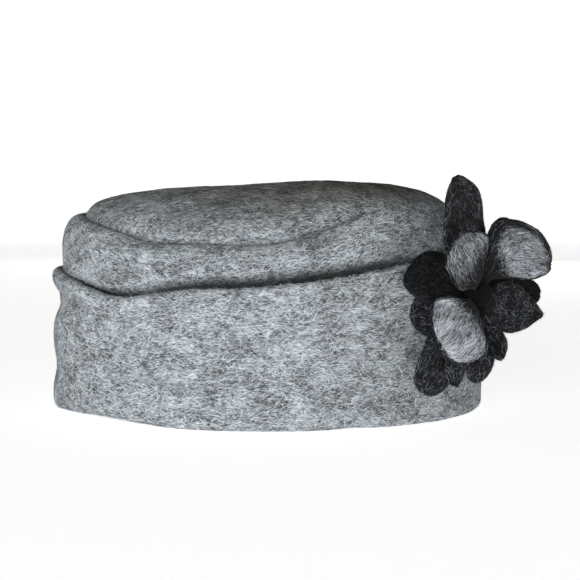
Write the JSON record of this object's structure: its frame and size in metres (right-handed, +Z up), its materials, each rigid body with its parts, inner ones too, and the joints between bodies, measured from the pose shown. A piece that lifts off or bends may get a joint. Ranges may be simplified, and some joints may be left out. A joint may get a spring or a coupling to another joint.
{
  "type": "felt hat",
  "caption": "Low oval cap of soft felt with a puffed, creased crown, a deep turned-up cuff and a flower of loose felt petals on one side.",
  "frame": {"origin": "middle of the underside of the whole hat's bounding box", "axes": "+X to the viewer's right in the front view, along the longer side of the head opening; -Y to the front; +Z up"},
  "size_m": [0.2478, 0.176, 0.114],
  "materials": {
    "grey_felt": "hairy felt, light and dark wool mixed",
    "dark_petal_felt": "hairy felt, charcoal",
    "pale_petal_felt": "hairy felt, pale grey with a charcoal rim"
  },
  "bodies": {
    "root": {"cap": "grey_felt", "flower_foot": "dark_petal_felt", "petal_top": "dark_petal_felt", "petal_back_upper_right": "dark_petal_felt", "petal_back_right": "dark_petal_felt", "petal_back_lower_right": "dark_petal_felt", "petal_back_bottom": "dark_petal_felt", "petal_lower_left": "dark_petal_felt", "petal_back_left": "dark_petal_felt", "petal_left": "dark_petal_felt", "petal_right": "dark_petal_felt", "petal_lower_fold": "dark_petal_felt", "petal_upper_right": "pale_petal_felt", "petal_bottom": "pale_petal_felt", "petal_middle": "pale_petal_felt"}
  },
  "joints": []
}
